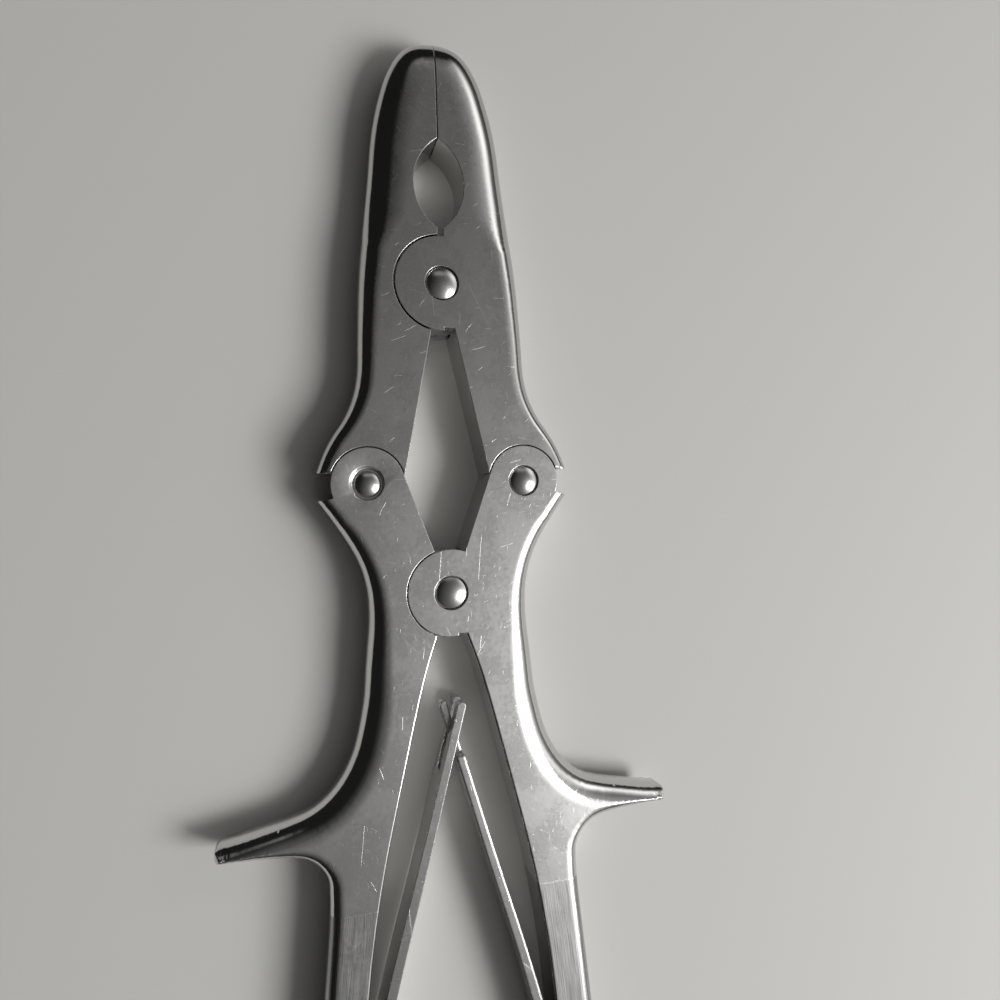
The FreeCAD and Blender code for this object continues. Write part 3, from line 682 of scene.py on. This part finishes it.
class RONGEUR_OT_handles(Operator):
    """Polish both handles to their wide roundings and give them steel with lined grips"""

    bl_idname = "rongeur.handles"
    bl_label = "Handles"

    def execute(self, context):
        steel = context.scene.rongeur_steel
        for (name, body), lean in zip(HANDLES.items(), (0.10, -0.10)):
            piece = worn_piece(name, body, handle_rims, context.scene.rongeur_wear)
            dress(piece, steel_material(name + "_steel", steel.handle_tone,
                                       steel.satin_roughness, steel.polish_roughness,
                                       steel.grain_size * 1.3, lean=lean,
                                       grip_start=steel.grip_start, seed=lean))
        return {"FINISHED"}


class RONGEUR_OT_rivets(Operator):
    """Give the four rivets their polish"""

    bl_idname = "rongeur.rivets"
    bl_label = "Rivets"

    def execute(self, context):
        steel = context.scene.rongeur_steel
        polished = steel_material("rivet_polish", steel.pin_tone, 0.24, 0.22, 0.0004,
                                  scratch_share=0.25, depth=0.006 * MM)
        for name in PINS:
            dress(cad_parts.get(name), polished)
        return {"FINISHED"}


class RONGEUR_OT_springs(Operator):
    """Give the leaf springs and their screws their steel"""

    bl_idname = "rongeur.springs"
    bl_label = "Leaf springs"

    def execute(self, context):
        steel = context.scene.rongeur_steel
        for name, edge in zip(SPRINGS, (0.2 * MM, 0.6 * MM)):
            dress(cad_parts.get(name),
                  steel_material(name + "_steel", steel.spring_tone, 0.28, 0.24, 0.0005,
                                 scratch_share=0.3, edge_radius=edge))
        turned = steel_material("screw_steel", steel.spring_tone, 0.25, 0.2, 0.0004,
                                scratch_share=0.3)
        for name in SCREWS:
            dress(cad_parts.get(name), turned)
        return {"FINISHED"}


def floor_material(name, tone):
    """Even matt floor."""
    material = bpy.data.materials.new(name)
    material.use_nodes = True
    shader = material.node_tree.nodes["Principled BSDF"]
    shader.inputs["Base Color"].default_value = (*tone, 1.0)
    shader.inputs["Roughness"].default_value = 0.8
    return material


def area_lamp(name, place, aim, side, power):
    """Square soft lamp that looks at a point."""
    lamp = bpy.data.lights.new(name, "AREA")
    lamp.shape = "SQUARE"
    lamp.size = side
    lamp.energy = power
    holder = bpy.data.objects.new(name, lamp)
    holder.location = place
    holder.rotation_euler = (Vector(aim) - Vector(place)).to_track_quat("-Z", "Y").to_euler()
    bpy.context.scene.collection.objects.link(holder)


def key_light(sheet, way, stage):
    """Glow of the room round the key lamp, and a ceiling that darkens away from it."""
    slope = sheet.vector("DOT_PRODUCT", way, Vector(stage.key_place).normalized())
    near = sheet.ramp(slope, 0.62, 1.0)
    glow = sheet.math("MULTIPLY", sheet.math("MULTIPLY", near, near), stage.glow_level)
    ceiling = sheet.ramp(slope, 0.1, 0.9, stage.dark_level * 0.2, stage.dark_level * 3.0)
    return sheet.math("ADD", glow, ceiling)


def low_window(sheet, axes):
    """Wide low window on the right, brighter towards the nose."""
    low = sheet.math("MULTIPLY", sheet.ramp(axes["Z"], 0.22, 0.52),
                     sheet.ramp(axes["Z"], 0.75, 0.35))
    band = sheet.math("MULTIPLY", low, sheet.ramp(axes["X"], 0.30, 0.75))
    return sheet.math("MULTIPLY", band, sheet.ramp(axes["Y"], 0.2, 0.55, 1.0, 2.4))


def soft_fill(sheet, axes):
    """Far wall beyond the nose, and light from below."""
    far = sheet.math("MULTIPLY", sheet.ramp(axes["Y"], 0.58, 0.72),
                     sheet.ramp(axes["Z"], 0.5, 0.65))
    far = sheet.math("MULTIPLY", far, sheet.ramp(axes["X"], -0.35, -0.1))
    return sheet.math("MAXIMUM", far, sheet.ramp(axes["Z"], 0.0, -0.2))


class RONGEUR_OT_stage(Operator):
    """Lay the floor, hang the lamp, light the room and stand the camera"""

    bl_idname = "rongeur.stage"
    bl_label = "Stage"

    def execute(self, context):
        stage = context.scene.rongeur_stage
        self.lay_floor(stage)
        self.light_room(context.scene, stage)
        self.stand_camera(context.scene, stage)
        return {"FINISHED"}

    def lay_floor(self, stage):
        mesh = bpy.data.meshes.new("floor")
        corners = [(x * FLOOR_REACH, y * FLOOR_REACH, 0.0)
                   for x, y in ((-1, -1), (1, -1), (1, 1), (-1, 1))]
        mesh.from_pydata(corners, [], [(0, 1, 2, 3)])
        mesh.materials.append(floor_material("floor_matt", stage.floor_tone))
        floor = bpy.data.objects.new("floor", mesh)
        bpy.context.scene.collection.objects.link(floor)

    def light_room(self, scene, stage):
        area_lamp("key_lamp", stage.key_place, KEY_AIM, stage.key_size, stage.key_power)
        world = bpy.data.worlds.new("room")
        scene.world = world
        world.use_nodes = True
        sheet = NodeSheet(world.node_tree)
        way = sheet.add("ShaderNodeTexCoord").outputs["Generated"]
        axes = sheet.split(way)
        level = key_light(sheet, way, stage)
        level = sheet.math("MULTIPLY_ADD", low_window(sheet, axes), stage.band_level, level)
        level = sheet.math("MULTIPLY_ADD", soft_fill(sheet, axes), stage.fill_level, level)
        back = world.node_tree.nodes["Background"]
        sheet.join(level, back.inputs["Strength"])
        back.inputs["Color"].default_value = (1.0, 0.995, 0.98, 1.0)

    def stand_camera(self, scene, stage):
        lens = bpy.data.cameras.new("photo_camera")
        lens.sensor_width = 36.0
        lens.lens = stage.lens
        lens.clip_start = 0.005
        camera = bpy.data.objects.new("photo_camera", lens)
        place = Vector(stage.camera_place)
        aim = Vector(stage.camera_aim)
        ahead = (aim - place).normalized()
        right = ahead.cross(Vector((0.0, 1.0, 0.0))).normalized()
        up = right.cross(ahead)
        turn = Matrix((right, up, -ahead)).transposed().to_4x4()
        roll = Matrix.Rotation(stage.camera_roll, 4, "Z")
        camera.matrix_world = Matrix.Translation(place) @ turn @ roll
        scene.collection.objects.link(camera)
        scene.camera = camera


class RONGEUR_PT_panel(Panel):
    """Sidebar panel that lists the rongeur's operators and settings"""

    bl_idname = "RONGEUR_PT_panel"
    bl_label = "Bone Rongeur"
    bl_space_type = "VIEW_3D"
    bl_region_type = "UI"
    bl_category = "Rongeur"

    def draw(self, context):
        column = self.layout.column()
        for operator in OPERATORS:
            column.operator(operator.bl_idname)
        for group in (context.scene.rongeur_steel, context.scene.rongeur_wear,
                      context.scene.rongeur_stage):
            for key in group.__annotations__:
                column.prop(group, key)


OPERATORS = (RONGEUR_OT_jaws, RONGEUR_OT_handles, RONGEUR_OT_rivets, RONGEUR_OT_springs,
             RONGEUR_OT_stage)
CLASSES = (RongeurSteel, RongeurWear, RongeurStage) + OPERATORS + (RONGEUR_PT_panel,)


def register():
    """Register the classes and hang the settings on the scene."""
    for item in CLASSES:
        bpy.utils.register_class(item)
    bpy.types.Scene.rongeur_steel = PointerProperty(type=RongeurSteel)
    bpy.types.Scene.rongeur_wear = PointerProperty(type=RongeurWear)
    bpy.types.Scene.rongeur_stage = PointerProperty(type=RongeurStage)


def unregister():
    """Take the settings and the classes away again."""
    del bpy.types.Scene.rongeur_stage
    del bpy.types.Scene.rongeur_wear
    del bpy.types.Scene.rongeur_steel
    for item in reversed(CLASSES):
        bpy.utils.unregister_class(item)


def main():
    """Dress the pieces and set the stage."""
    register()
    bpy.context.scene.view_settings.view_transform = "Standard"
    bpy.ops.rongeur.jaws()
    bpy.ops.rongeur.handles()
    bpy.ops.rongeur.rivets()
    bpy.ops.rongeur.springs()
    bpy.ops.rongeur.stage()


if __name__ == "__main__":
    main()
